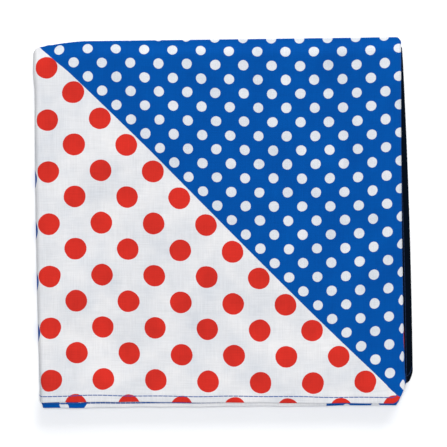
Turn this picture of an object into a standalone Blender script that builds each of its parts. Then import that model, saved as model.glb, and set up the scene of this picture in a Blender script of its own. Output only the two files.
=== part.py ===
"""Furoshiki: a 70 cm square of printed cotton, hemmed, and folded flat to a square packet.

The square is folded in half twice, to a strip of four plies with two hems and a fold along
its near edge. The strip is then folded in half twice, to four leaves. The cloth is one piece,
so the packet is one solid: the strip's outline, carried along the back-and-forth line of its
leaves. Seen from above, +X is right and +Y is away from the hems. +Z is up, out of the front
leaf. The origin is the middle of the underside.
"""

import math
from collections import namedtuple

import bmesh
import bpy

MM = 0.001

NAME = "furoshiki"

# The cloth's side, and the side of one of its sixteen panels, which is the packet's side
CLOTH = 700.0 * MM
PANEL = CLOTH / 4

# The strip across its thickness: four plies pressed together, and the air between two leaves
STRIP = 1.5 * MM
PLY = STRIP / 4
LEAF_GAP = 0.4 * MM
LEAF_PITCH = STRIP + LEAF_GAP

# The near edge: the sewn hem's depth, how far it stands up on the front, and the slit
# between the hemmed plies and the folded ones
HEM = 3.0 * MM
HEM_RISE = 0.25 * MM
SLIT_DEEP = 1.5 * MM
SLIT_WIDE = 0.08 * MM

# Each leaf's place in the pile, 0 lowest, in the order in which the strip runs through them
LEVELS = (1, 2, 3, 0)
FRONT = 2

# The strip's two ends and three creases, in the order in which it runs, in millimetres.
# side is +1 on the right. near, mid and far say how far the crease's outer face stands out
# past half a panel at the near edge, halfway and at the far edge, so it can lean and bow.
# hem and fold say the same of the front ply's hem and of the far fold there. step is how far
# the second hem shows past the first, and tuck how far its end lies inside the crease. The
# cuts and reaches round off the two corners. bulge is how far the crease stands out from
# where its leaves run flat.
Crease = namedtuple(
    "Crease",
    "side near mid far hem fold step tuck near_cut near_reach far_cut far_reach bulge",
)
CREASES = (
    Crease(+1, 3.1, 1.4, -1.9, -5.0, 0.1, 0.8, 14.0, 10.0, 14.0, 4.0, 6.0, 0.0),
    Crease(-1, -2.0, 0.0, 0.8, -2.0, -2.5, 1.2, 2.0, 3.0, 5.0, 3.0, 5.0, 0.95),
    Crease(+1, -1.0, -2.5, -2.2, -0.9, 1.3, 0.7, 3.9, 11.0, 9.5, 3.0, 5.0, 0.95),
    Crease(-1, 0.4, 2.5, 3.1, -1.9, -0.9, 3.1, 1.4, 1.5, 3.0, 5.0, 25.0, 2.1),
    Crease(+1, -6.9, -5.5, -4.7, -2.5, -0.5, 1.0, 5.0, 3.0, 5.0, 3.0, 5.0, 0.0),
)
CORNER_POWER = 2.4

# Where the pile is fuller than its plies pressed flat: over the near hems, over the hemmed
# ends on the right, and where the outer crease springs on the left. The far fold and the
# outer crease then fall away to rounded shoulders. edge is where the fullness is greatest,
# and it fades over fade millimetres towards the middle.
Fullness = namedtuple("Fullness", "axis side edge fade rise")
FULLNESS = (
    Fullness("y", -1, -84.0, 40.0, 0.20),
    Fullness("x", +1, 86.0, 30.0, 0.12),
    Fullness("x", -1, -80.0, 28.0, 0.10),
    Fullness("y", +1, 86.0, 30.0, 0.06),
    Fullness("y", +1, 88.0, 7.5, -0.24),
    Fullness("x", -1, -90.0, 8.0, -0.06),
)

# Soft swells and hollows in the front, in millimetres, rise as a share of the height there
Swell = namedtuple("Swell", "x y half_x half_y rise")
SWELLS = (
    Swell(-64.0, 2.0, 14.0, 22.0, -0.10),
    Swell(-62.0, -60.0, 24.0, 12.0, -0.09),
    Swell(-30.0, 45.0, 30.0, 26.0, 0.06),
    Swell(25.0, -20.0, 34.0, 44.0, 0.05),
    Swell(48.0, 40.0, 20.0, 34.0, -0.06),
    Swell(0.0, -5.0, 12.0, 60.0, -0.04),
)

# Sections along a leaf, in millimetres from each of its ends, and evenly between those
END_SECTIONS = (0.0, 1.6, 2.5, 6.0, 13.0, 24.0)
MIDDLE_SECTIONS = 6
CREASE_SECTIONS = 5
# Rows across the strip, in millimetres in from the near hem, evenly between, and in from
# the far fold
NEAR_ROWS = (4.0, 10.0, 20.0)
MIDDLE_ROWS = 8
FAR_ROWS = (8.0, 5.0, 2.5, 0.0)
ROWS = 1 + len(NEAR_ROWS) + MIDDLE_ROWS - 1 + len(FAR_ROWS)
NOSE_STEPS = 5

Section = namedtuple("Section", "place near far step ridge")


def smooth(t):
    """Ease from 0 to 1 as t goes from 0 to 1."""
    t = min(max(t, 0.0), 1.0)
    return t * t * (3 - 2 * t)


def mix(a, b, t):
    return a + (b - a) * t


def crease_x(crease, w):
    """X of a crease's outer face at w, which is 0 at the near edge and 1 at the far one."""
    out = crease.near * (1 - w) * (1 - 2 * w)
    out += crease.mid * 4 * w * (1 - w)
    out += crease.far * w * (2 * w - 1)
    return crease.side * (PANEL / 2 + out * MM)


def hem_y(crease):
    """Y of the front ply's hem at a crease."""
    return -(PANEL / 2 + crease.hem * MM)


def fold_y(crease):
    """Y of the strip's far fold at a crease."""
    return PANEL / 2 + crease.fold * MM


def corner_cut(depth, reach, inside):
    """How far a rounded corner draws the edge in, at a distance inside its crease."""
    return depth * MM * max(0.0, 1 - inside / (reach * MM)) ** CORNER_POWER


def setback(crease):
    """From a crease's outer face to where its leaves run flat."""
    return STRIP / 2 + crease.bulge * MM if crease.bulge else 0.0


def second_hem(crease, inside, cut):
    """How far the second hem stands out past the front one, square where that is rounded."""
    square = smooth((inside / MM - crease.tuck + 0.4) / 0.8)
    return crease.step * MM * mix(0.15, 1.0, square) + cut * square


def leaf_height(level):
    return STRIP / 2 + level * LEAF_PITCH


def leaf_sections(index):
    """Sections of one leaf, each a place function giving the strip's middle and its normal."""
    start, end = CREASES[index], CREASES[index + 1]
    height = leaf_height(LEVELS[index])
    length = PANEL + (start.mid + end.mid) * MM - setback(start) - setback(end)
    close = [d * MM for d in END_SECTIONS]
    span = length - 2 * close[-1]
    middle = [close[-1] + span * i / MIDDLE_SECTIONS for i in range(1, MIDDLE_SECTIONS)]
    for step in close + middle + [length - d for d in reversed(close)]:
        f = step / length

        def place(w, f=f):
            first = crease_x(start, w) - start.side * setback(start)
            last = crease_x(end, w) - end.side * setback(end)
            return mix(first, last, f), height, 0.0, start.side

        inside = (step + setback(start), length - step + setback(end))
        near = mix(hem_y(start), hem_y(end), f)
        far = mix(fold_y(start), fold_y(end), f)
        hems = []
        for crease, d in zip((start, end), inside):
            cut = corner_cut(crease.near_cut, crease.near_reach, d)
            near += cut
            far -= corner_cut(crease.far_cut, crease.far_reach, d)
            hems.append(second_hem(crease, d, cut))
        ridge = HEM_RISE if index == FRONT else 0.0
        yield Section(place, near, far, mix(*hems, f), ridge)


def crease_sections(index):
    """Sections round the crease between two leaves, on a half ellipse."""
    crease = CREASES[index]
    low, high = (leaf_height(LEVELS[i]) for i in (index - 1, index))
    bulge = crease.bulge * MM
    for i in range(1, CREASE_SECTIONS + 1):
        angle = math.pi * i / (CREASE_SECTIONS + 1)
        height = mix(low, high, (1 - math.cos(angle)) / 2)
        along = crease.side * bulge * math.cos(angle)
        up = (high - low) / 2 * math.sin(angle)
        size = math.hypot(along, up)

        def place(w, angle=angle, height=height, normal=(up / size, -along / size)):
            base = crease_x(crease, w) - crease.side * setback(crease)
            return base + crease.side * bulge * math.sin(angle), height, *normal

        inside = setback(crease) * (1 - math.sin(angle))
        cut = corner_cut(crease.near_cut, crease.near_reach, inside)
        far = fold_y(crease) - corner_cut(crease.far_cut, crease.far_reach, inside)
        yield Section(place, hem_y(crease) + cut, far, second_hem(crease, inside, cut), 0.0)


def strip_outline(section):
    """The strip cut across: (distance in from the near hem, offset towards the front)."""
    half = STRIP / 2
    length = section.far - section.near
    last = length - half
    rows = [d * MM for d in NEAR_ROWS]
    ends = (rows[-1], last - FAR_ROWS[0] * MM)
    rows += [mix(*ends, i / MIDDLE_ROWS) for i in range(1, MIDDLE_ROWS)]
    rows += [last - d * MM for d in FAR_ROWS]
    # the front ply, from its hem to the far fold
    outline = [(0.0, half + section.ridge), (HEM, half + section.ridge)]
    outline += [(d, half) for d in rows]
    # round the far fold
    for i in range(1, NOSE_STEPS + 1):
        angle = math.pi * i / (NOSE_STEPS + 1)
        outline.append((last + half * math.sin(angle), half * math.cos(angle)))
    # the back, and round the near fold of the two plies behind
    outline += [(d, -half) for d in reversed(rows)]
    outline.append((HEM, -half))
    for angle in (0.0, math.pi / 4, math.pi / 2, math.pi * 3 / 4, math.pi):
        nose = half / 2 - SLIT_WIDE / 4
        outline.append((nose * (1 - math.sin(angle)), nose * -math.cos(angle) - half + nose))
    # the slit, and the second hem past the first
    outline.append((SLIT_DEEP, 0.0))
    outline.append((-section.step, SLIT_WIDE / 2))
    outline.append((-section.step, PLY))
    outline.append((0.0, PLY))
    return outline


def fullness(x, y):
    """How many times the pressed height the pile is at a place."""
    full = 1.0
    for row in FULLNESS:
        across = x if row.axis == "x" else y
        outward = row.side * (across / MM - row.edge)
        full += row.rise * smooth(1 + outward / row.fade)
    for row in SWELLS:
        far = ((x / MM - row.x) / row.half_x) ** 2 + ((y / MM - row.y) / row.half_y) ** 2
        full += row.rise * math.exp(-far)
    return full


def section_ring(bm, section):
    """The strip's outline as a ring of vertices at its place in the packet."""
    ring = []
    length = section.far - section.near
    for inward, offset in strip_outline(section):
        x, z, normal_x, normal_z = section.place(min(max(inward / length, 0.0), 1.0))
        x += normal_x * offset
        z += normal_z * offset
        y = section.near + inward
        ring.append(bm.verts.new((x, y, z * fullness(x, y))))
    return ring


def close_end(bm, ring):
    """Close a free end of the strip: row by row, then its far fold and its hemmed edge."""
    front = ring[1 : ROWS + 1]
    nose = ring[ROWS + 1 : ROWS + 1 + NOSE_STEPS]
    back = ring[ROWS + 1 + NOSE_STEPS : 2 * ROWS + 1 + NOSE_STEPS][::-1]
    edge = ring[2 * ROWS + 1 + NOSE_STEPS :]
    for i in range(1, ROWS):
        bm.faces.new((front[i - 1], front[i], back[i], back[i - 1]))
    bm.faces.new((front[-1], *nose, back[-1]))
    hemmed = bm.faces.new((ring[0], front[0], back[0], *edge))
    hemmed.normal_update()
    bmesh.ops.triangulate(bm, faces=[hemmed], ngon_method="EAR_CLIP")


def loft(bm, rings):
    """Skin a run of like rings with quads, and close both of its ends."""
    for first, second in zip(rings, rings[1:]):
        for i in range(len(first)):
            bm.faces.new((first[i - 1], first[i], second[i], second[i - 1]))
    close_end(bm, rings[0])
    close_end(bm, rings[-1])
    bmesh.ops.recalc_face_normals(bm, faces=bm.faces)


def build_cloth(collection):
    """The folded cloth: its leaves and creases in turn, from one free end to the other."""
    sections = []
    for index in range(len(LEVELS)):
        if index:
            sections += crease_sections(index)
        sections += leaf_sections(index)
    bm = bmesh.new()
    loft(bm, [section_ring(bm, section) for section in sections])
    mesh = bpy.data.meshes.new("cloth")
    bm.to_mesh(mesh)
    bm.free()
    mesh.shade_smooth()
    mesh.set_sharp_from_angle(angle=math.radians(40))
    mesh.materials.append(printed_cotton())
    cloth = bpy.data.objects.new("cloth", mesh)
    collection.objects.link(cloth)
    return cloth


def printed_cotton():
    """Plain-woven cotton in the print's blue, the colour that covers most of the front."""
    material = bpy.data.materials.new("printed cotton")
    material.use_nodes = True
    shader = material.node_tree.nodes["Principled BSDF"]
    shader.inputs["Base Color"].default_value = (0.001, 0.080, 0.361, 1.0)
    shader.inputs["Roughness"].default_value = 0.85
    shader.inputs["Metallic"].default_value = 0.0
    return material


def main():
    for existing in list(bpy.data.objects):
        bpy.data.objects.remove(existing)
    collection = bpy.data.collections.new(NAME)
    bpy.context.scene.collection.children.link(collection)
    build_cloth(collection)


main()
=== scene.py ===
import math
from collections import namedtuple

import bpy
import numpy as np
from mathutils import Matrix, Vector


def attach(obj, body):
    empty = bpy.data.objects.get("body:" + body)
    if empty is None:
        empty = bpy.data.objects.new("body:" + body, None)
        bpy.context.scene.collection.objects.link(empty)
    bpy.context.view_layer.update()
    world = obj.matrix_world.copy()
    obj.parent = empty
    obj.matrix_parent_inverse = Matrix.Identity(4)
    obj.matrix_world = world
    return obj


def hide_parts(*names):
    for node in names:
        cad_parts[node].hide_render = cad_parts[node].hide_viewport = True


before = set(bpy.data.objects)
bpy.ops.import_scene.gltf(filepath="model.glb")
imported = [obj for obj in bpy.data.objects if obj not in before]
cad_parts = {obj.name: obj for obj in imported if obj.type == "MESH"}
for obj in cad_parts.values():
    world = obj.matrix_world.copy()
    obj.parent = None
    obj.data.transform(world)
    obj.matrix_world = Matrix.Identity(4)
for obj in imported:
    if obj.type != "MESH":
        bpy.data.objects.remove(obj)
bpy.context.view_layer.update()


# The camera: straight above the packet, far off with a long lens, as flat goods are shot.
# The view is 213.7 mm wide at the height of the front leaf.
VIEW_WIDE = 213.7
VIEW_CENTRE = (-0.06, -0.48)
FRONT_HEIGHT = 8.4
LENS = 300.0

lens = bpy.data.cameras.new("camera")
lens.lens = LENS
lens.sensor_width = 36.0
camera = bpy.data.objects.new("camera", lens)
far_off = FRONT_HEIGHT + VIEW_WIDE * LENS / lens.sensor_width
camera.location = Vector((*VIEW_CENTRE, far_off)) / 1000
lens.clip_end = 20.0
bpy.context.scene.collection.objects.link(camera)
bpy.context.scene.camera = camera


# The cloth: a square of plain-woven cotton, 70 cm a side, printed on one face. It is folded
# in half twice to a strip of four plies, and the strip in half twice to four leaves. It is
# one thin sheet through all sixteen plies, with its four edges turned under and sewn.
PANEL = 175.0
STRIP = 1.5
LEAF_PITCH = 1.9
THICK = 0.24
PLY_PITCH = 0.42
HEM = 3.0
SECOND_HEM = 2.15
HEM_TURNED = 3.5
TURN_PITCH = 0.235
FOOTING = 0.45

# Leaf heights in the pile, 0 lowest, in the order in which the strip runs through them
LEVELS = (1, 2, 3, 0)
FRONT = 2

# The strip's two free ends and three creases, in millimetres out from half a panel: where
# the crease stands at its near, middle and far parts, and the ear at its far end, where the
# hem and the far fold stand, how far the second hem shows past the first and how far in its
# end is tucked, and the crease's bulge
Crease = namedtuple("Crease", "side near mid far ear hem fold step tuck bulge")
CREASES = (
    Crease(+1, 3.1, 1.4, -1.9, 0.0, -5.0, 0.1, 0.8, 14.0, 0.0),
    Crease(-1, -2.0, 0.0, 0.8, 0.0, -2.0, -2.5, 1.2, 2.0, 0.95),
    Crease(+1, -0.6, -2.2, -2.5, 0.0, -0.9, 1.3, 0.7, 3.6, 0.95),
    Crease(-1, 0.4, 2.5, 3.1, 0.7, -1.9, -0.9, 3.1, 1.4, 1.4),
    Crease(+1, -6.9, -5.5, -4.7, 0.0, -2.5, -0.5, 1.0, 5.0, 0.0),
)

# The two corners at each of them: how far each is rounded off, over what reach, and how
# far the edge leans in, or out if it is negative, over the last 25 mm before it
LEAN_REACH = 25.0
Corner = namedtuple("Corner", "cut reach lean")
NEAR_CORNERS = (
    Corner(4.5, 2.6, 7.2),
    Corner(3.0, 5.0, 0.0),
    Corner(9.6, 7.0, 0.0),
    Corner(0.8, 2.0, -0.7),
    Corner(3.0, 5.0, 0.0),
)
FAR_CORNERS = (
    Corner(4.0, 6.0, 0.0),
    Corner(3.0, 5.0, 0.0),
    Corner(1.6, 2.8, 0.0),
    Corner(1.9, 2.5, 3.3),
    Corner(3.0, 5.0, 0.0),
)

# Where the pile is fuller than its plies pressed flat, or falls away at its shoulders
Fullness = namedtuple("Fullness", "axis side edge fade rise")
FULLNESS = (
    Fullness("y", -1, -84.0, 40.0, 0.20),
    Fullness("x", +1, 86.0, 30.0, 0.12),
    Fullness("x", -1, -80.0, 28.0, 0.10),
    Fullness("y", +1, 86.0, 30.0, 0.06),
    Fullness("fold", +1, 88.0, 7.0, -0.33),
)

# Broad swells and hollows, rise as a share of the height there
Swell = namedtuple("Swell", "x y half_x half_y rise")
SWELLS = (
    Swell(-62.0, 0.0, 12.0, 20.0, -0.17),
    Swell(-60.0, -62.0, 24.0, 12.0, -0.13),
    Swell(-46.0, 4.0, 10.0, 14.0, 0.05),
    Swell(-30.0, 45.0, 30.0, 26.0, 0.06),
    Swell(25.0, -20.0, 34.0, 44.0, 0.06),
    Swell(48.0, 40.0, 20.0, 30.0, -0.09),
    Swell(66.0, -8.0, 14.0, 22.0, -0.06),
    Swell(0.0, -5.0, 12.0, 60.0, -0.04),
)

# Soft creases left in the pressed cloth, as shallow troughs (-) and ridges (+) on a line
Trough = namedtuple("Trough", "x y to_x to_y half rise")
TROUGHS = (
    Trough(-80.0, -68.0, -30.0, -71.0, 4.5, -0.24),
    Trough(-78.0, -54.0, -50.0, -58.0, 4.5, -0.26),
    Trough(-73.0, 12.0, -68.0, -14.0, 3.5, -0.30),
    Trough(-56.0, 34.0, -60.0, 8.0, 4.0, 0.20),
    Trough(-46.0, 8.0, -36.0, 2.0, 4.0, -0.20),
    Trough(-74.0, 28.0, -66.0, 12.0, 3.5, -0.22),
    Trough(-84.0, 80.0, -70.0, 74.0, 2.5, 0.10),
    Trough(30.0, 72.0, 84.0, 62.0, 4.5, -0.14),
    Trough(66.0, 40.0, 82.0, -6.0, 4.0, 0.16),
    Trough(38.0, 6.0, 80.0, -22.0, 5.0, -0.14),
    Trough(40.0, -66.0, 74.0, -72.0, 3.5, -0.20),
    Trough(84.0, -62.0, 72.0, -82.0, 3.0, 0.14),
    Trough(-20.0, 70.0, 14.0, 40.0, 6.0, -0.14),
    Trough(-16.0, -36.0, 20.0, -60.0, 6.0, 0.14),
)


def smooth(t):
    t = np.clip(t, 0.0, 1.0)
    return t * t * (3 - 2 * t)


def mix(a, b, t):
    return a + (b - a) * t


def crease_x(crease, w):
    """X of a crease's outer face at w, from 0 at the near edge to 1 at the far one."""
    out = crease.near * (1 - w) * (1 - 2 * w)
    out = out + crease.mid * 4 * w * (1 - w)
    out = out + crease.far * w * (2 * w - 1) + crease.ear * smooth((w - 0.88) / 0.06)
    return crease.side * (PANEL / 2 + out)


def corner_cut(corner, inside):
    rounded = corner.cut * max(0.0, 1 - inside / corner.reach) ** 2.4
    return rounded + corner.lean * max(0.0, 1 - inside / LEAN_REACH) ** 1.5


def setback(crease):
    return STRIP / 2 + crease.bulge if crease.bulge else 0.0


def second_hem(crease, inside, cut):
    square = float(smooth((inside - crease.tuck + 0.4) / 0.8))
    return crease.step * mix(0.15, 1.0, square) + cut * square


def leaf_height(level):
    return STRIP / 2 + level * LEAF_PITCH


def fullness(x, y, fold):
    """fold is y as it would be with the far fold straight across."""
    full = np.ones_like(x)
    for row in FULLNESS:
        across = {"x": x, "y": y, "fold": fold}[row.axis]
        full += row.rise * smooth(1 + (row.side * across - row.side * row.edge) / row.fade)
    for row in SWELLS:
        far = ((x - row.x) / row.half_x) ** 2 + ((y - row.y) / row.half_y) ** 2
        full += row.rise * np.exp(-far)
    return full


def footing(x, y):
    """How far the lowest leaf's hems hold the pile off the table, along two of its edges."""
    held = np.maximum(smooth((-50.0 - y) / 30.0), smooth((x - 46.0) / 30.0))
    return FOOTING * held


def creasing(x, y):
    """Height of the soft creases on the front leaf."""
    high = np.zeros_like(x)
    for row in TROUGHS:
        run = np.array((row.to_x - row.x, row.to_y - row.y))
        size = np.hypot(*run)
        run = run / size
        along = (x - row.x) * run[0] + (y - row.y) * run[1]
        aside = (y - row.y) * run[0] - (x - row.x) * run[1]
        past = np.maximum(np.maximum(-along, along - size), 0.0)
        high += row.rise * np.exp(-((aside / row.half) ** 2) - (past / (2 * row.half)) ** 2)
    return high


# Rows run across the strip, from the front ply's turned hem, round the far fold, the near
# fold and the inner far fold, to the second ply's turned hem. share and inward place a row
# between the near edge and the far one, and back is its share of the second hem's step.
# lift is its height in the strip, and high its height at the free ends, where hems spread
# the plies. face_y and face_z point out of the print. turned is 3 on a hem's turned
# allowance, 2 round its edge and 1 on the hem above it.
Row = namedtuple("Row", "share inward back lift high face_y face_z turned")
rows = []
EDGE = (THICK + TURN_PITCH) / 2
FRONT_LIFT = 0.80
SECOND_LIFT = 0.12
# a ply's height from the strip's middle, and the same at the free ends
OUTER_PLY = (1.5 * PLY_PITCH, 0.8225)
INNER_PLY = (0.5 * PLY_PITCH, 0.1175)
# the near fold's middle and its swing, at the free ends
FREE_END_FOLD = (-0.47, -0.3525)
# where each fold's round begins, in from the near edge, or negative from the far one
NEAR_FOLD = (PLY_PITCH + THICK) / 2
FAR_FOLD = -0.75
INNER_FOLD = -0.97


def thread_pull(inward):
    """The thread draws the cloth down a little along its line."""
    return -0.05 * math.exp(-(((inward - HEM) / 0.35) ** 2))


def by_hem(d):
    """1 beside a hem, and 0 from 6 mm in."""
    return float(smooth((6.0 - d) / 2.4))


def hem_lift(lift, hem):
    """A ply's height, which rises or sinks to its hem's near the edge."""
    return lambda d: mix(lift, hem, by_hem(d)) + thread_pull(d)


def flat_rows(spaced, lift, high, face, back=0, share=0.0, turned=0):
    for inward in spaced:
        height = lift(inward) if callable(lift) else lift
        rows.append(Row(share, inward, back, height, high, 0.0, face, turned))


def body_rows(count, near, far, lift, high, face, back=0):
    """Even rows between near and far, which are distances in from the two edges."""
    for i in range(1, count):
        share = i / count if face > 0 else 1 - i / count
        inward = (1 - share) * near - share * far
        rows.append(Row(share, inward, back * (1 - share), lift, high, 0.0, face, 0))


def round_rows(count, share, centre, side, face, lift, high, convex=1, back=0, turned=0):
    """Half a turn of the cloth. lift and high are each (middle, swing from the middle)."""
    for i in range(1, count):
        a = math.pi * i / count
        rows.append(
            Row(
                share,
                centre + side * abs(lift[1]) * math.sin(a),
                back,
                lift[0] + lift[1] * math.cos(a),
                high[0] + high[1] * math.cos(a),
                side * convex * math.sin(a),
                face * math.cos(a),
                turned,
            )
        )


# the front ply's turned allowance, its edge, its hem, and on to the far fold
half_turn = TURN_PITCH / 2
allowance = (FRONT_LIFT - TURN_PITCH, OUTER_PLY[1] - TURN_PITCH)
flat_rows((HEM_TURNED, 2.4, 1.2, EDGE), *allowance, -1, turned=3)
middle = (FRONT_LIFT - half_turn, -half_turn), (OUTER_PLY[1] - half_turn, -half_turn)
round_rows(5, 0.0, EDGE, -1, -1, *middle, turned=2)
hem = (EDGE, 0.7, 1.5, 2.2, 2.7, HEM, 3.3, HEM_TURNED)
flat_rows(hem, hem_lift(OUTER_PLY[0], FRONT_LIFT), OUTER_PLY[1], 1, turned=1)
behind = (3.9, 4.4, 5.2, 6.2, 8.0)
flat_rows(behind, hem_lift(OUTER_PLY[0], FRONT_LIFT), OUTER_PLY[1], 1)
first_flat = len(rows) - 1
body_rows(64, 8.0, 12.0, *OUTER_PLY, 1)
shoulder = (-12.0, -10.0, -8.2, -6.6, -5.2, -4.0, -3.0, -2.1, -1.3, FAR_FOLD)
flat_rows(shoulder, *OUTER_PLY, 1, share=1.0)
last_flat = len(rows) - len(shoulder)
round_rows(9, 1.0, FAR_FOLD, 1, 1, (0.0, OUTER_PLY[0]), (0.0, OUTER_PLY[1]))
# the back ply, from the far fold to the near one
far_side = (FAR_FOLD, -3.0, -5.5, -8.5, -12.0)
near_side = (12.0, 6.0, 3.0, 1.2, NEAR_FOLD)
flat_rows(far_side, -OUTER_PLY[0], -OUTER_PLY[1], -1, share=1.0)
body_rows(24, 12.0, 12.0, -OUTER_PLY[0], -OUTER_PLY[1], -1)
flat_rows(near_side, -OUTER_PLY[0], -OUTER_PLY[1], -1)
middle = (-PLY_PITCH, -PLY_PITCH / 2), FREE_END_FOLD
round_rows(6, 0.0, NEAR_FOLD, -1, -1, *middle)
# the third ply, and round the inner fold at the far edge
flat_rows(near_side[::-1], -INNER_PLY[0], -INNER_PLY[1], 1)
body_rows(24, 12.0, 12.0, -INNER_PLY[0], -INNER_PLY[1], 1)
inner_side = (-12.0, -8.5, -5.5, -3.0, INNER_FOLD)
flat_rows(inner_side, -INNER_PLY[0], -INNER_PLY[1], 1, share=1.0)
middle = (0.0, -INNER_PLY[0]), (0.0, -INNER_PLY[1])
round_rows(6, 1.0, INNER_FOLD, 1, 1, *middle, convex=-1)
# the second ply, back to its own hem, which shows past the front one
flat_rows(inner_side[::-1], *INNER_PLY, -1, share=1.0)
body_rows(28, 12.0, 12.0, *INNER_PLY, -1, back=1)
second = hem_lift(INNER_PLY[0], SECOND_LIFT)
flat_rows((12.0, 8.0, *behind[-2::-1]), second, INNER_PLY[1], -1, back=1)
flat_rows(hem[::-1], second, INNER_PLY[1], -1, back=1, turned=1)
middle = (SECOND_LIFT + half_turn, -half_turn), (INNER_PLY[1] + half_turn, -half_turn)
round_rows(5, 0.0, EDGE, -1, -1, *middle, back=1, turned=2)
allowance = (SECOND_LIFT + TURN_PITCH, INNER_PLY[1] + TURN_PITCH)
flat_rows((EDGE, 0.7, 1.4, 2.0, SECOND_HEM, HEM, HEM_TURNED), *allowance, 1, back=1, turned=3)

# Columns run along the strip, from the free end of the lowest printed leaf but one, through
# the front leaf, to the other free end. turn moves a column into the cloth at a turned
# hem, and spread is 1 where that hem spreads the plies.
Column = namedtuple("Column", "place near far step cut spread turn turned leaf")
columns = []


def leaf_columns(index, spaced, turned=0, turns=None, from_end=False):
    start, end = CREASES[index], CREASES[index + 1]
    length = PANEL + start.mid + end.mid - setback(start) - setback(end)
    for i, inward in enumerate(spaced):
        along = length - inward if from_end else inward
        f = along / length
        inside = (along + setback(start), length - along + setback(end))
        near = mix(-PANEL / 2 - start.hem, -PANEL / 2 - end.hem, f)
        far = mix(PANEL / 2 + start.fold, PANEL / 2 + end.fold, f)
        cuts, steps, spread = 0.0, [], 0.0
        for which, crease, d in ((index, start, inside[0]), (index + 1, end, inside[1])):
            cut = corner_cut(NEAR_CORNERS[which], d)
            cuts += cut
            far -= corner_cut(FAR_CORNERS[which], d)
            steps.append(second_hem(crease, d, cut))
            if not crease.bulge:
                spread = by_hem(d)

        def place(w, start=start, end=end, f=f, index=index):
            first = crease_x(start, w) - start.side * setback(start)
            last = crease_x(end, w) - end.side * setback(end)
            return mix(first, last, f), leaf_height(LEVELS[index]), 0.0, start.side

        turn = turns[i] if turns else thread_pull(inward) * spread
        step = mix(*steps, f)
        columns.append(
            Column(place, near + cuts, far, step, cuts, spread, turn, turned, index)
        )


def crease_columns(index, count):
    crease = CREASES[index]
    low, high = (leaf_height(LEVELS[i]) for i in (index - 1, index))
    for i in range(1, count):
        a = math.pi * i / count
        along = crease.side * crease.bulge * math.cos(a)
        up = (high - low) / 2 * math.sin(a)
        size = math.hypot(along, up)
        height = mix(low, high, (1 - math.cos(a)) / 2)

        def place(w, a=a, height=height, face=(up / size, -along / size)):
            base = crease_x(crease, w) - crease.side * setback(crease)
            return base + crease.side * crease.bulge * math.sin(a), height, *face

        inside = setback(crease) * (1 - math.sin(a))
        cut = corner_cut(NEAR_CORNERS[index], inside)
        far = PANEL / 2 + crease.fold - corner_cut(FAR_CORNERS[index], inside)
        near = -PANEL / 2 - crease.hem + cut
        step = second_hem(crease, inside, cut)
        columns.append(Column(place, near, far, step, cut, 0.0, 0.0, 0, None))


def even(first, last, count):
    return [mix(first, last, i / count) for i in range(count + 1)]


angles = [math.pi * i / 5 for i in range(1, 5)]
turn_inward = [EDGE - half_turn * math.sin(a) for a in angles]
turn_depth = [-half_turn * (1 + math.cos(a)) for a in angles]
close = (0.0, 0.9, 1.8, 2.9, 4.2, 6.0, 8.2)
coarse = (0.0, 1.2, 2.6, 6.0, 13.0)
# the free end behind the front leaf's right edge
under = (HEM_TURNED, 2.4, 1.2, EDGE)
leaf_columns(0, under, 3, [-TURN_PITCH] * 4)
leaf_columns(0, turn_inward, 2, turn_depth)
leaf_columns(0, hem, 1)
leaf_columns(0, (*behind, *even(16.0, 162.0, 12)))
leaf_columns(0, coarse[::-1], from_end=True)
crease_columns(1, 8)
leaf_columns(1, (*coarse, *even(24.0, 148.0, 10)))
leaf_columns(1, coarse[::-1], from_end=True)
crease_columns(2, 8)
leaf_columns(2, (*close, *even(10.5, 161.5, 62)))
leaf_columns(2, close[::-1], from_end=True)
crease_columns(3, 14)
leaf_columns(3, (*coarse, *even(24.0, 150.0, 11)))
leaf_columns(3, behind[::-1], from_end=True)
leaf_columns(3, hem[::-1], 1, from_end=True)
leaf_columns(3, turn_inward, 2, turn_depth[::-1], from_end=True)
leaf_columns(3, under[::-1], 3, [-TURN_PITCH] * 4, from_end=True)

# every vertex's place, column by column
share, inward, back, lift, high, face_y, face_z, row_turned = np.array(rows).T
near_hem = np.exp(-((inward - HEM) / 1.3) ** 2) * (share == 0) * (row_turned > 0)
near_edge = np.exp(-((inward / 2.0) ** 2)) * (share == 0) * (row_turned > 0)
STRAIGHT_FOLD = 88.7
spots = np.zeros((len(rows), len(columns), 3))
for c, column in enumerate(columns):
    width = column.far - column.near
    y = column.near + share * width + inward - back * column.step
    y = y + column.turn * face_y
    up = mix(lift, high, column.spread) + column.turn * face_z
    w = np.clip((y - column.near) / width, 0.0, 1.0)
    x, z, out_x, out_z = column.place(w)
    x = x + out_x * up
    z = z + out_z * up
    # hems wander a little, and pucker along their thread
    y = y + near_hem * (0.14 * np.sin(x / 5.1 + 1.0) + 0.12 * np.sin(x / 13.0))
    y = y + near_edge * (0.10 * np.sin(x / 8.3) + 0.07 * np.sin(x / 3.1 + 2.0))
    z = z + near_hem * out_z * face_z * 0.05 * np.sin(x / 1.7 + 0.6 * np.sin(x / 7.0))
    full = fullness(x, y, y + STRAIGHT_FOLD - column.far)
    z = THICK / 2 + (z - THICK / 2) * full + creasing(x, y) * z / FRONT_HEIGHT
    spots[:, c] = np.stack((x, y, z + footing(x, y)), 1)

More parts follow.
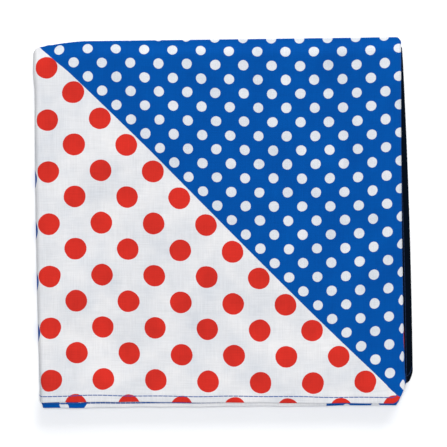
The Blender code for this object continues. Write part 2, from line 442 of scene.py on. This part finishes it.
# where each vertex is on the cloth laid out flat, print up, the front panel in its place
flat = np.zeros((len(rows), len(columns), 2))
front = [c for c, column in enumerate(columns) if column.leaf == FRONT]
steps_along = np.linalg.norm(np.diff(spots, axis=1), axis=2)
flat[:, front, 0] = spots[:, front, 0]
for c in range(front[0] - 1, -1, -1):
    flat[:, c, 0] = flat[:, c + 1, 0] + steps_along[:, c]
for c in range(front[-1] + 1, len(columns)):
    flat[:, c, 0] = flat[:, c - 1, 0] - steps_along[:, c - 1]
steps_across = np.linalg.norm(np.diff(spots, axis=0), axis=2)
flat[first_flat : last_flat + 1, :, 1] = spots[first_flat : last_flat + 1, :, 1]
for r in range(first_flat - 1, -1, -1):
    flat[r, :, 1] = flat[r + 1, :, 1] - steps_across[r]
for r in range(last_flat + 1, len(rows)):
    flat[r, :, 1] = flat[r - 1, :, 1] + steps_across[r - 1]
# the crease on the right has drawn the print a little towards it and up
CREASE_PULL = (0.35, 0.60)
at_crease = smooth((flat[:, :, 0] - 81.5) / 4.0)
flat[:, :, 0] -= CREASE_PULL[0] * at_crease
flat[:, :, 1] -= CREASE_PULL[1] * at_crease * smooth((30.0 - flat[:, :, 1]) / 60.0)
# sewing has stretched the hem a little
HEM_STRETCH = 0.012
at_hem = smooth((-78.5 - flat[:, :, 1]) / 3.0)
flat[:, :, 0] -= HEM_STRETCH * np.clip(flat[:, :, 0], -90.0, 90.0) * at_hem
# the cloth was folded a little off its grain, so the print's rows sag and climb across it,
# and the outer crease drags them
BOW = (5.197, -3.542)
CREASE_DRAG = 0.9
across_print = np.clip((flat[:, :, 0] + 65.0) / 100.0, 0.0, 1.5)
flat[:, :, 1] += BOW[0] * across_print**2 + BOW[1] * across_print**3
flat[:, :, 1] += CREASE_DRAG * smooth((-74.0 - flat[:, :, 0]) / 8.0)

# faces of the sheet; the hems' doubled corners are cut away, as a sewer cuts them
height, width = flat.shape[:2]
row_turned = row_turned.astype(int)
column_turned = np.array([column.turned for column in columns])
quads = []
for r in range(height - 1):
    across = max(row_turned[r], row_turned[r + 1])
    if {row_turned[r], row_turned[r + 1]} == {2, 3}:
        across = 2
    for c in range(width - 1):
        along = max(column_turned[c], column_turned[c + 1])
        if along >= 2 and across >= 2 or along == 3 and across == 1:
            continue
        quads.append((r, c))
number = -np.ones((height, width), int)
for r, c in quads:
    number[r : r + 2, c : c + 2] = 0
used = np.argwhere(number == 0)
number[used[:, 0], used[:, 1]] = np.arange(len(used))
faces = [
    (number[r, c], number[r + 1, c], number[r + 1, c + 1], number[r, c + 1])
    for r, c in quads
]
mesh = bpy.data.meshes.new("cloth")
mesh.from_pydata((spots[used[:, 0], used[:, 1]] / 1000).tolist(), [], faces)
layer = mesh.uv_layers.new(name="laid out flat")
corners = np.zeros(len(mesh.loops), int)
mesh.loops.foreach_get("vertex_index", corners)
layout = flat[used[:, 0], used[:, 1]] / 1000
layer.data.foreach_set("uv", layout[corners].astype(np.float32).ravel())
mesh.shade_smooth()
cloth = bpy.data.objects.new("folded_cloth", mesh)
bpy.context.scene.collection.objects.link(cloth)
thickness = cloth.modifiers.new("thickness", "SOLIDIFY")
thickness.thickness = THICK / 1000
thickness.offset = 0.0
thickness.material_offset = 1
thickness.material_offset_rim = 1


# The print and the weave, used on the cloth's face and, paler, on its reverse. Dots of three
# sizes and colours are printed on white and blue grounds that meet on a slanting line.
def new_group(name, inputs, outputs):
    group = bpy.data.node_groups.new(name, "ShaderNodeTree")
    for socket, kind in inputs:
        group.interface.new_socket(socket, in_out="INPUT", socket_type=kind)
    for socket, kind in outputs:
        group.interface.new_socket(socket, in_out="OUTPUT", socket_type=kind)
    return group, group.nodes.new("NodeGroupInput"), group.nodes.new("NodeGroupOutput")


def wire(tree, target, value):
    """Links a socket, or sets its own value."""
    if isinstance(value, bpy.types.NodeSocket):
        tree.links.new(value, target)
    else:
        target.default_value = value


def sum_of(tree, operation, *values):
    node = tree.nodes.new("ShaderNodeMath")
    node.operation = operation
    for target, value in zip(node.inputs, values):
        wire(tree, target, value)
    return node.outputs[0]


def vector_of(tree, operation, *values):
    node = tree.nodes.new("ShaderNodeVectorMath")
    node.operation = operation
    for value, target in zip(values, node.inputs):
        wire(tree, target, value)
    return node.outputs["Value" if operation in ("LENGTH", "DOT_PRODUCT") else "Vector"]


def ramp_of(tree, value, low, high, to_low=0.0, to_high=1.0, kind="SMOOTHSTEP"):
    node = tree.nodes.new("ShaderNodeMapRange")
    node.interpolation_type = kind
    for name, part in zip(
        ("Value", "From Min", "From Max", "To Min", "To Max"),
        (value, low, high, to_low, to_high),
    ):
        wire(tree, node.inputs[name], part)
    return node.outputs[0]


def blend_of(tree, amount, first, second, how="MIX"):
    node = tree.nodes.new("ShaderNodeMix")
    node.data_type = "RGBA"
    node.blend_type = how
    wire(tree, node.inputs[0], amount)
    wire(tree, node.inputs[6], first)
    wire(tree, node.inputs[7], second)
    return node.outputs[2]


def noise_of(tree, vector, scale, detail=2.0, rough=0.5):
    node = tree.nodes.new("ShaderNodeTexNoise")
    wire(tree, node.inputs["Vector"], vector)
    node.inputs["Scale"].default_value = scale
    node.inputs["Detail"].default_value = detail
    node.inputs["Roughness"].default_value = rough
    return node


# One even field of dots: a square repeat with a dot in the middle of each square
dots, given, put = new_group(
    "dots",
    [(name, "NodeSocketVector") for name in ("Cloth", "Origin", "Right", "Down")]
    + [(name, "NodeSocketVector") for name in ("Per right", "Per down")]
    + [("Radius", "NodeSocketFloat")],
    [("Dots", "NodeSocketFloat"), ("Centre", "NodeSocketVector")],
)
offset = vector_of(dots, "SUBTRACT", given.outputs["Cloth"], given.outputs["Origin"])
nearest = []
for shift in (0.0, 0.5):
    back_to = []
    for name in ("right", "down"):
        turn = vector_of(dots, "DOT_PRODUCT", offset, given.outputs["Per " + name])
        turn = sum_of(dots, "ADD", turn, 0.5 + shift)
        turn = sum_of(dots, "SUBTRACT", sum_of(dots, "FRACT", turn), 0.5)
        scaled = dots.nodes.new("ShaderNodeVectorMath")
        scaled.operation = "SCALE"
        wire(dots, scaled.inputs[0], given.outputs[name.capitalize()])
        wire(dots, scaled.inputs["Scale"], turn)
        back_to.append(scaled.outputs[0])
    nearest.append(vector_of(dots, "ADD", *back_to))
lengths = [vector_of(dots, "LENGTH", part) for part in nearest]
second_is = sum_of(dots, "LESS_THAN", lengths[1], lengths[0])
from_centre = blend_of(dots, second_is, *nearest)
centre = vector_of(dots, "SUBTRACT", given.outputs["Cloth"], from_centre)
wire(dots, put.inputs["Centre"], centre)
reach = sum_of(dots, "SUBTRACT", sum_of(dots, "MINIMUM", *lengths), given.outputs["Radius"])
wire(dots, put.inputs["Dots"], ramp_of(dots, reach, -0.10, 0.10, 1.0, 0.0))

# The whole print: areas of ground, their dots, and the ink's slightly unsteady edge
Field = namedtuple("Field", "origin right down radius")
RED = Field((-84.31, 49.92), (25.03, -0.08), (0.37, -24.93), 5.22)
WHITE = Field((-64.90, 69.81), (13.53, 0.01), (0.22, -13.48), 2.41)
BLUE = Field((-94.75, 21.6), (25.0, 0.0), (0.55, -24.5), 5.22)
WHITE_FAR = Field((-76.1, 604.2), (13.5, 0.97), (-0.97, -13.5), 2.41)
SLANT = (
    (-262.5, 250.0),
    (-88.25, 85.27),
    (-69.90, 67.97),
    (-35.15, 34.69),
    (36.12, -35.68),
    (70.00, -69.20),
    (77.70, -77.10),
    (81.10, -82.10),
    (262.5, -262.0),
)
SLANT_HIGH = 300.0
WHITE_GROUND = (0.648, 0.650, 0.662, 1.0)
WHITE_INK = (0.596, 0.616, 0.650, 1.0)
BLUE_INK = (0.0002, 0.067, 0.304, 1.0)
RED_INK = (0.552, 0.0253, 0.017, 1.0)
BLACK_INK = (0.0002, 0.0022, 0.0065, 1.0)
BLEED = 0.22
SWIM = 0.8

# Where the print changes on the cloth laid out flat: at the outer crease, at the first and
# last blue dots past it, clear of the slanting line, along the second hem with its two blue
# ends, at the black end, and in the red patch
OUTER_CREASE = -89.0
BLUE_DOTS = (-65.0, 35.0)
CLEAR_OF_LINE = 3.5
SECOND_PART = 560.0
SECOND_SLOPE = -0.6
SECOND_LEFT = -431.4
SECOND_RIGHT = 49.0
FIRST_FAR_DOT = -80.0
BLACK_END = 300.0
PATCH = (94.5, -55.5)
PATCH_SQUASH = (1.25, 0.8)
PATCH_RADIUS = 7.9

# How far a place on the cloth is above the line where the two grounds meet
meeting, given, put = new_group(
    "meeting line", [("Cloth", "NodeSocketVector")], [("Above", "NodeSocketFloat")]
)
parts = meeting.nodes.new("ShaderNodeSeparateXYZ")
wire(meeting, parts.inputs[0], given.outputs["Cloth"])
slant = meeting.nodes.new("ShaderNodeFloatCurve")
span = (SLANT[0][0], SLANT[-1][0])
across_cloth = ramp_of(meeting, parts.outputs[0], *span, kind="LINEAR")
wire(meeting, slant.inputs["Value"], across_cloth)
points = slant.mapping.curves[0].points
while len(points) < len(SLANT):
    points.new(0.5, 0.5)
for point, (x, y) in zip(points, SLANT):
    up_cloth = (y + SLANT_HIGH) / (2 * SLANT_HIGH)
    point.location = ((x - span[0]) / (span[1] - span[0]), up_cloth)
    point.handle_type = "VECTOR"
slant.mapping.update()
line = ramp_of(meeting, slant.outputs[0], 0.0, 1.0, -SLANT_HIGH, SLANT_HIGH, "LINEAR")
wire(meeting, put.inputs["Above"], sum_of(meeting, "SUBTRACT", parts.outputs[1], line))

printed, given, put = new_group(
    "print", [("Cloth", "NodeSocketVector")], [("Colour", "NodeSocketColor")]
)
at = given.outputs["Cloth"]
swim = noise_of(printed, at, 0.11, 1.0).outputs["Color"]
swim = vector_of(printed, "SUBTRACT", swim, (0.5, 0.5, 0.5))
bleed = noise_of(printed, at, 1.7, 2.0).outputs["Color"]
bleed = vector_of(printed, "SUBTRACT", bleed, (0.5, 0.5, 0.5))
edge_at = vector_of(
    printed, "ADD", at, vector_of(printed, "MULTIPLY", bleed, (BLEED, BLEED, 0.0))
)
ink_at = vector_of(
    printed, "ADD", edge_at, vector_of(printed, "MULTIPLY", swim, (SWIM, SWIM, 0.0))
)


def dotted(field):
    node = printed.nodes.new("ShaderNodeGroup")
    node.node_tree = dots
    wire(printed, node.inputs["Cloth"], ink_at)
    size = field.right[0] * field.down[1] - field.right[1] * field.down[0]
    node.inputs["Origin"].default_value = (*field.origin, 0.0)
    node.inputs["Right"].default_value = (*field.right, 0.0)
    node.inputs["Down"].default_value = (*field.down, 0.0)
    per_right = (field.down[1] / size, -field.down[0] / size, 0.0)
    per_down = (-field.right[1] / size, field.right[0] / size, 0.0)
    node.inputs["Per right"].default_value = per_right
    node.inputs["Per down"].default_value = per_down
    node.inputs["Radius"].default_value = field.radius
    return node.outputs


def above_line(place):
    node = printed.nodes.new("ShaderNodeGroup")
    node.node_tree = meeting
    wire(printed, node.inputs["Cloth"], place)
    return node.outputs["Above"]


def places_of(vector):
    parts = printed.nodes.new("ShaderNodeSeparateXYZ")
    wire(printed, parts.inputs[0], vector)
    return parts.outputs[0], parts.outputs[1]


def whole_dots(found, there):
    """Only the dots that are whole on their own ground."""
    return sum_of(printed, "MULTIPLY", found["Dots"], there)


def past_line(value, line, soft=0.1, falls=False):
    """0 before a line and 1 past it, or the other way round where it falls."""
    return ramp_of(printed, value, line, line + soft, float(falls), float(not falls))


# red dots on white, and past the outer crease blue ones
x_flat, y_flat = places_of(edge_at)
is_blue = ramp_of(printed, above_line(edge_at), -0.11, 0.11)
red = dotted(RED)
this_side = past_line(places_of(red["Centre"])[0], OUTER_CREASE)
colour = blend_of(printed, whole_dots(red, this_side), WHITE_GROUND, RED_INK)
blue = dotted(BLUE)
x_blue, y_blue = places_of(blue["Centre"])
past = past_line(x_blue, OUTER_CREASE, falls=True)
past = sum_of(printed, "MULTIPLY", past, past_line(y_blue, BLUE_DOTS[0]))
past = sum_of(printed, "MULTIPLY", past, past_line(y_blue, BLUE_DOTS[1], falls=True))
colour = blend_of(printed, whole_dots(blue, past), colour, BLUE_INK)
# white dots on blue, above the slanting line
white = dotted(WHITE)
above = past_line(above_line(white["Centre"]), CLEAR_OF_LINE)
over_blue = blend_of(printed, whole_dots(white, above), BLUE_INK, WHITE_INK)
colour = blend_of(printed, is_blue, colour, over_blue)
# along the second hem, blue with white dots at both ends and bare white between
second_part = past_line(y_flat, SECOND_PART, 0.5)
slope = sum_of(printed, "MULTIPLY_ADD", y_flat, SECOND_SLOPE, x_flat)
left_of = past_line(slope, SECOND_LEFT, 0.3, falls=True)
right_of = past_line(x_flat, SECOND_RIGHT, 0.3)
ends = sum_of(printed, "MAXIMUM", left_of, right_of)
far_dots = dotted(WHITE_FAR)
kept = past_line(places_of(far_dots["Centre"])[0], FIRST_FAR_DOT)
there = blend_of(printed, whole_dots(far_dots, kept), BLUE_INK, WHITE_INK)
there = blend_of(printed, ends, WHITE_GROUND, there)
colour = blend_of(printed, second_part, colour, there)
# a black end, and a red patch on the way round to it
black = past_line(x_flat, BLACK_END, 0.4)
colour = blend_of(printed, black, colour, BLACK_INK)
patch = vector_of(printed, "SUBTRACT", at, (*PATCH, 0.0))
patch = vector_of(printed, "MULTIPLY", patch, (*PATCH_SQUASH, 0.0))
patch = past_line(vector_of(printed, "LENGTH", patch), PATCH_RADIUS, 0.2, falls=True)
colour = blend_of(printed, patch, colour, RED_INK)
wire(printed, put.inputs["Colour"], colour)

# Plain weave: yarns that pass over and under one another, each a little uneven in thickness
YARN = 0.36
weave, given, put = new_group(
    "plain weave",
    [("Cloth", "NodeSocketVector")],
    [("Height", "NodeSocketFloat"), ("Yarn", "NodeSocketFloat")],
)
at = given.outputs["Cloth"]
waver = noise_of(weave, at, 0.25, 2.0).outputs["Color"]
waver = vector_of(weave, "SUBTRACT", waver, (0.5, 0.5, 0.5))
waver = vector_of(weave, "MULTIPLY", waver, (0.5, 0.5, 0.0))
yarns = vector_of(weave, "ADD", at, waver)
yarns = vector_of(weave, "MULTIPLY", yarns, (1 / YARN, 1 / YARN, 0.0))
parts = weave.nodes.new("ShaderNodeSeparateXYZ")
wire(weave, parts.inputs[0], yarns)
swell = []
for across, along in ((0, 1), (1, 0)):
    profile = sum_of(weave, "SINE", sum_of(weave, "MULTIPLY", parts.outputs[across], math.pi))
    profile = sum_of(weave, "ABSOLUTE", profile)
    other = sum_of(weave, "FLOOR", parts.outputs[across])
    phase = sum_of(weave, "ADD", parts.outputs[along], other)
    phase = sum_of(weave, "ADD", phase, 0.5 + across)
    wave = sum_of(weave, "COSINE", sum_of(weave, "MULTIPLY", phase, math.pi))
    over = sum_of(weave, "MULTIPLY_ADD", wave, 0.5, 0.5)
    swell.append(sum_of(weave, "MULTIPLY", profile, over))
raised = sum_of(weave, "MAXIMUM", *swell)
slubs = []
for stretch in ((2.6, 0.09, 0.0), (0.09, 2.6, 0.0)):
    slub = noise_of(weave, vector_of(weave, "MULTIPLY", at, stretch), 1.0, 2.0, 0.6)
    slubs.append(slub.outputs[0])
slub = sum_of(weave, "SUBTRACT", sum_of(weave, "ADD", *slubs), 1.0)
wire(weave, put.inputs["Yarn"], slub)
wire(weave, put.inputs["Height"], sum_of(weave, "MULTIPLY_ADD", slub, 0.8, raised))


# The finish: gaps between yarns are darker, a painted shade, each yarn takes the dye a little
# differently, and the cloth as a whole carries a faint mottle of painted shade, bluer where
# it is darker, for its hollows' shading
GAP_SHADE = (0.05, 0.965)
YARN_SHADE = 0.20
PAINTED_SHADE_MOTTLE = (0.60, 0.48, 0.34)
UNDYED = (0.66, 0.67, 0.69, 1.0)


def cotton(name, fade):
    """The cloth's finish, with painted shade in the yarns' gaps and in a faint mottle. fade
    is how much of the print has not come through to this side.
    """
    material = bpy.data.materials.new(name)
    material.use_nodes = True
    tree = material.node_tree
    shader = tree.nodes["Principled BSDF"]
    uv = tree.nodes.new("ShaderNodeUVMap")
    uv.uv_map = "laid out flat"
    place = vector_of(tree, "MULTIPLY", uv.outputs[0], (1000.0, 1000.0, 0.0))
    ink = tree.nodes.new("ShaderNodeGroup")
    ink.node_tree = printed
    wire(tree, ink.inputs["Cloth"], place)
    yarn = tree.nodes.new("ShaderNodeGroup")
    yarn.node_tree = weave
    wire(tree, yarn.inputs["Cloth"], place)
    shown = ink.outputs["Colour"]
    if fade:
        shown = blend_of(tree, fade, shown, UNDYED)
    # painted shade: the gaps between yarns are darkened in the base colour
    tone = sum_of(tree, "MULTIPLY_ADD", yarn.outputs["Height"], *GAP_SHADE)
    tone = sum_of(tree, "MULTIPLY_ADD", yarn.outputs["Yarn"], YARN_SHADE, tone)
    # painted shade: soft random patches darken the ground, bluer where darker, standing in
    # for the shading of hollows
    painted_shade = noise_of(tree, place, 0.045, 3.0, 0.6).outputs[0]
    painted_shade = sum_of(tree, "SUBTRACT", painted_shade, 0.5)
    grey = tree.nodes.new("ShaderNodeCombineColor")
    for target, amount in zip(grey.inputs, PAINTED_SHADE_MOTTLE):
        wire(tree, target, sum_of(tree, "MULTIPLY_ADD", painted_shade, amount, tone))
    shown = blend_of(tree, 1.0, shown, grey.outputs[0], "MULTIPLY")
    wire(tree, shader.inputs["Base Color"], shown)
    rough = ramp_of(tree, yarn.outputs["Height"], 0.0, 1.0, 0.95, 0.8)
    wire(tree, shader.inputs["Roughness"], rough)
    shader.inputs["Sheen Weight"].default_value = 0.02
    shader.inputs["Sheen Roughness"].default_value = 0.5
    shader.inputs["Specular IOR Level"].default_value = 0.04
    bump = tree.nodes.new("ShaderNodeBump")
    bump.inputs["Strength"].default_value = 0.5
    bump.inputs["Distance"].default_value = 0.00008
    wire(tree, bump.inputs["Height"], yarn.outputs["Height"])
    wire(tree, shader.inputs["Normal"], bump.outputs[0])
    return material


mesh.materials.append(cotton("printed cotton", 0.0))
mesh.materials.append(cotton("reverse of the cotton", 0.55))
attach(cloth, "root")
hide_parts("cloth")


# The hems' stitching: a lock stitch about 3 mm in from each of the four edges, in stitches
# of about 2.4 mm that sink into the cloth at both ends. It is blue, and navy on the black
# end of the cloth.
STITCH = 2.4
STITCH_SHARE = 0.98
THREAD = 0.20
LOOSE_THREAD = 0.33
FLATTENED = 0.6
LOST_IN_FOLD = 1.2
ring_sides = 6
arch = ((-0.5, -0.14), (-0.43, 0.0), (-0.2, 0.05), (0.2, 0.05), (0.43, 0.0), (0.5, -0.14))


def stitch_line(path, out, dark, thick):
    """Stitches along a path, standing out of the cloth along out. dark is 0 where the thread
    is blue, 1 where it is navy and 2 where it is lost in a fold."""
    lengths = np.cumsum(np.linalg.norm(np.diff(path, axis=0), axis=1))
    lengths = np.concatenate(([0.0], lengths))
    count = int(lengths[-1] / STITCH)
    made = []
    for k in range(count):
        middle = (k + 0.5) * lengths[-1] / count
        tone = round(float(np.interp(middle, lengths, dark)))
        if tone == 2:
            continue
        ring_spots = []
        for along, rise in arch:
            s = middle + along * STITCH * STITCH_SHARE
            spot = np.array([np.interp(s, lengths, path[:, i]) for i in range(3)])
            up = np.array([np.interp(s, lengths, out[:, i]) for i in range(3)])
            up /= np.linalg.norm(up)
            ahead = np.array([np.interp(s + 0.1, lengths, path[:, i]) for i in range(3)])
            behind_it = np.array([np.interp(s - 0.1, lengths, path[:, i]) for i in range(3)])
            run = ahead - behind_it
            run /= max(np.linalg.norm(run), 1e-9)
            aside = np.cross(run, up)
            centre = spot + up * (THICK / 2 + rise)
            ring_spots.append([
                centre + thick * (math.cos(t) * aside + FLATTENED * math.sin(t) * up)
                for t in (2 * math.pi * j / ring_sides for j in range(ring_sides))
            ])
        made.append((ring_spots, tone))
    return made


# the cloth's own facing at each vertex, from its neighbours
facing = np.cross(np.gradient(spots, axis=0), np.gradient(spots, axis=1))
facing /= np.maximum(np.linalg.norm(facing, axis=2, keepdims=True), 1e-9)
hem_rows = [r for r, row in enumerate(rows) if row.turned == 1]
hem_columns = [c for c, column in enumerate(columns) if column.turned == 1]
to_line = hem.index(HEM)
front_line = hem_rows[0] + to_line
second_line = max(r for r, row in enumerate(rows) if row.inward == SECOND_HEM)
sewn_rows = slice(hem_rows[0], hem_rows[-1] + 1)
sewn_columns = slice(hem_columns[0], hem_columns[-1] + 1)
# navy on the black end, and lost where the front's corner is cut back into a fold
dark = (flat[:, :, 0] > BLACK_END).astype(float)
seen_leaves = (FRONT - 1, FRONT, None)
in_fold = [part.leaf in seen_leaves and part.cut > LOST_IN_FOLD for part in columns]
dark[front_line, in_fold] = 2.0
Seam = namedtuple("Seam", "rows columns thick")
SEAMS = (
    Seam(front_line, sewn_columns, THREAD),
    Seam(second_line, sewn_columns, LOOSE_THREAD),
    Seam(sewn_rows, hem_columns[0] + to_line, THREAD),
    Seam(sewn_rows, hem_columns[-1] - to_line, THREAD),
)
vertices, faces, threads = [], [], []
for seam in SEAMS:
    line = seam.rows, seam.columns
    for ring_spots, tone in stitch_line(spots[line], facing[line], dark[line], seam.thick):
        base = len(vertices)
        for ring in ring_spots:
            vertices += ring
        for i in range(len(arch) - 1):
            for j in range(ring_sides):
                a, b = base + i * ring_sides + j, base + i * ring_sides + (j + 1) % ring_sides
                faces.append((a, b, b + ring_sides, a + ring_sides))
        faces.append(tuple(base + j for j in reversed(range(ring_sides))))
        last = base + (len(arch) - 1) * ring_sides
        faces.append(tuple(last + j for j in range(ring_sides)))
        threads += [tone] * (len(faces) - len(threads))
mesh = bpy.data.meshes.new("stitching")
mesh.from_pydata((np.array(vertices) / 1000).tolist(), [], faces)
mesh.polygons.foreach_set("material_index", threads)
mesh.shade_smooth()
stitching = bpy.data.objects.new("hem_stitching", mesh)
bpy.context.scene.collection.objects.link(stitching)


def thread(name, dark, light):
    material = bpy.data.materials.new(name)
    material.use_nodes = True
    tree = material.node_tree
    shader = tree.nodes["Principled BSDF"]
    place = tree.nodes.new("ShaderNodeTexCoord").outputs["Object"]
    fibre = noise_of(tree, place, 9000.0, 2.0).outputs[0]
    uneven = noise_of(tree, place, 300.0, 2.0).outputs[0]
    wire(tree, shader.inputs["Base Color"], blend_of(tree, uneven, dark, light))
    wire(tree, shader.inputs["Roughness"], ramp_of(tree, fibre, 0.3, 0.7, 0.6, 0.8))
    shader.inputs["Specular IOR Level"].default_value = 0.2
    bump = tree.nodes.new("ShaderNodeBump")
    bump.inputs["Strength"].default_value = 0.4
    bump.inputs["Distance"].default_value = 0.00003
    wire(tree, bump.inputs["Height"], fibre)
    wire(tree, shader.inputs["Normal"], bump.outputs[0])
    return material


BLUE_THREAD = ((0.002, 0.050, 0.250, 1.0), (0.010, 0.095, 0.360, 1.0))
NAVY_THREAD = ((0.002, 0.008, 0.030, 1.0), (0.006, 0.022, 0.075, 1.0))
mesh.materials.append(thread("blue thread", *BLUE_THREAD))
mesh.materials.append(thread("navy thread", *NAVY_THREAD))
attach(stitching, "root")


# The table and the light: a plain white board under the packet, a large soft lamp straight
# above, a weaker one past the far edge, and an even white surround.
BOARD_WHITE = (0.97, 0.97, 0.97, 1.0)
SURROUND = (0.88, 0.96, 1.10, 1.0)
SURROUND_POWER = 0.20

bpy.ops.object.select_all(action="DESELECT")
bpy.ops.mesh.primitive_plane_add(size=6.0, location=(0.0, 0.0, 0.0))
board = bpy.context.object
board.name = "board"
material = bpy.data.materials.new("white board")
material.use_nodes = True
shader = material.node_tree.nodes["Principled BSDF"]
shader.inputs["Base Color"].default_value = BOARD_WHITE
shader.inputs["Roughness"].default_value = 0.9
board.data.materials.append(material)

world = bpy.data.worlds.new("surround")
world.use_nodes = True
world.node_tree.nodes["Background"].inputs[0].default_value = SURROUND
world.node_tree.nodes["Background"].inputs[1].default_value = SURROUND_POWER
bpy.context.scene.world = world
Lamp = namedtuple("Lamp", "name size power x y z")
LAMPS = (
    Lamp("overhead_lamp", 0.5, 35.0, 0.0, 0.0, 2.2),
    Lamp("side_lamp", 1.0, 12.0, 0.28, 1.05, 0.66),
)
for row in LAMPS:
    lamp = bpy.data.lights.new(row.name, "AREA")
    lamp.shape = "DISK"
    lamp.size = row.size
    lamp.energy = row.power
    shine = bpy.data.objects.new(row.name, lamp)
    shine.location = (row.x, row.y, row.z)
    shine.rotation_euler = (-shine.location).to_track_quat("-Z", "Y").to_euler()
    bpy.context.scene.collection.objects.link(shine)
bpy.context.scene.view_settings.view_transform = "Standard"
